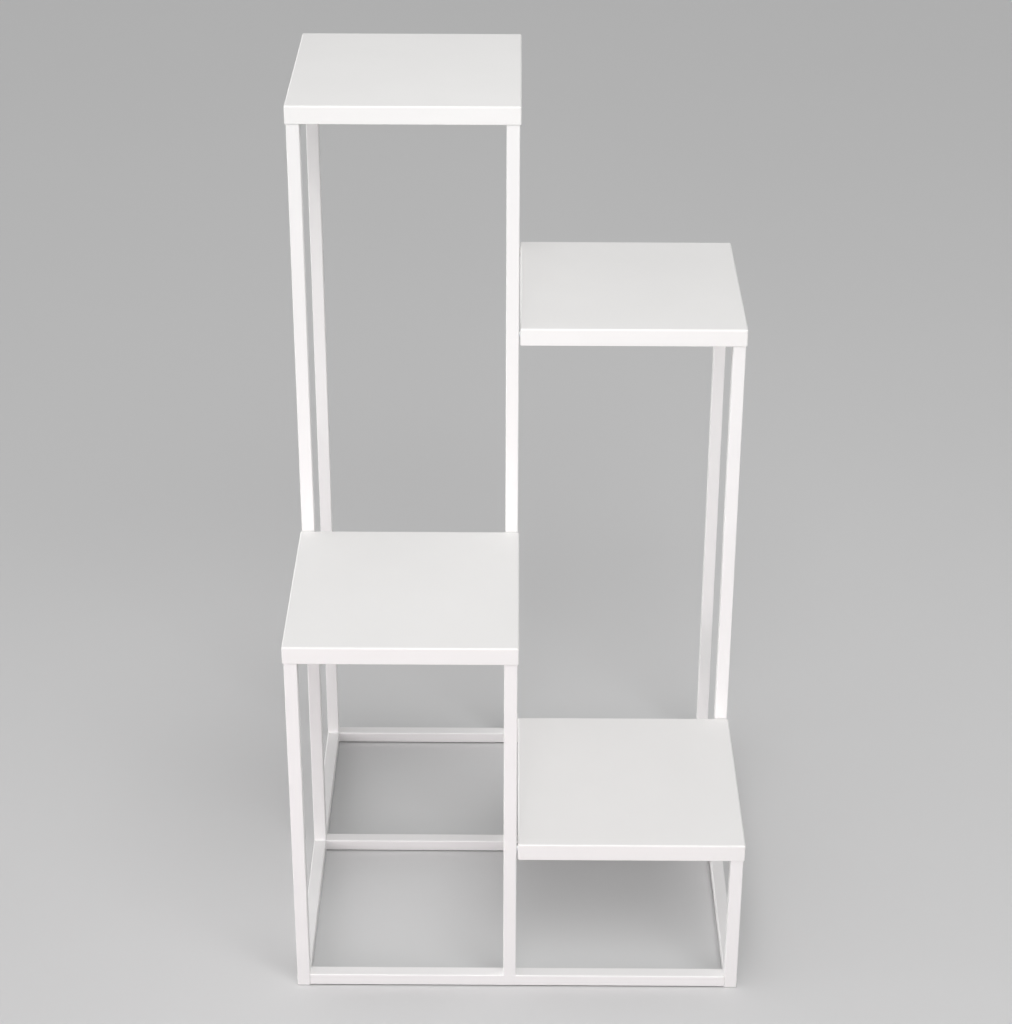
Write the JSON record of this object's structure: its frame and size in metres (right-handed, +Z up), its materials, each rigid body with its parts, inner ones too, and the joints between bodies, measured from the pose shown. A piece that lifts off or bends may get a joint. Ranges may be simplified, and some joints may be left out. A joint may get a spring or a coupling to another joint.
{
  "type": "plant ladder stand",
  "caption": "White metal plant stand: square folded trays step down from back left to front right on thin square tube legs joined by floor rails.",
  "frame": {"origin": "middle of the footprint, on the floor under the foot glides", "axes": "+X to the right, +Y to the back, +Z up, seen from the front where the two lower trays are"},
  "size_m": [0.52, 0.52, 1],
  "materials": {
    "tray_coat": "satin powder coat, white",
    "tube_coat": "satin powder coat, white",
    "bracket_coat": "satin powder coat, white, thinner in the corners",
    "zinc": "bright zinc plate",
    "glide_plastic": "matt moulded",
    "cap_plastic": "satin moulded"
  },
  "bodies": {
    "root": {"top_tray": "tray_coat", "second_tray": "tray_coat", "third_tray": "tray_coat", "bottom_tray": "tray_coat", "front_left_leg": "tube_coat", "front_centre_leg": "tube_coat", "front_right_leg": "tube_coat", "middle_left_leg": "tube_coat", "middle_centre_leg": "tube_coat", "middle_right_leg": "tube_coat", "back_left_leg": "tube_coat", "back_centre_leg": "tube_coat", "back_right_leg": "tube_coat", "front_rail": "tube_coat", "middle_rail": "tube_coat", "back_rail": "tube_coat", "front_left_side_rail": "tube_coat", "back_left_side_rail": "tube_coat", "front_right_side_rail": "tube_coat", "back_right_side_rail": "tube_coat", "front_left_glide": "glide_plastic", "front_right_glide": "glide_plastic", "middle_left_glide": "glide_plastic", "middle_right_glide": "glide_plastic", "back_left_glide": "glide_plastic", "back_right_glide": "glide_plastic", "front_left_bracket": "bracket_coat", "front_centre_bracket": "bracket_coat", "front_right_bracket": "bracket_coat", "middle_left_bracket": "bracket_coat", "middle_centre_bracket": "bracket_coat", "middle_right_bracket": "bracket_coat", "back_left_bracket": "bracket_coat", "back_centre_bracket": "bracket_coat", "back_right_bracket": "bracket_coat", "left_frame_welds": "tube_coat", "right_frame_welds": "tube_coat", "centre_post_welds": "tube_coat", "bracket_welds": "bracket_coat", "corner_tab": "bracket_coat", "rail_end_nuts": "zinc", "rail_bolts": "zinc", "bolt_hole_caps": "cap_plastic", "tray_studs": "zinc", "flange_nuts": "zinc", "tray_screws": "zinc", "rivet_nuts": "zinc"}
  },
  "joints": []
}
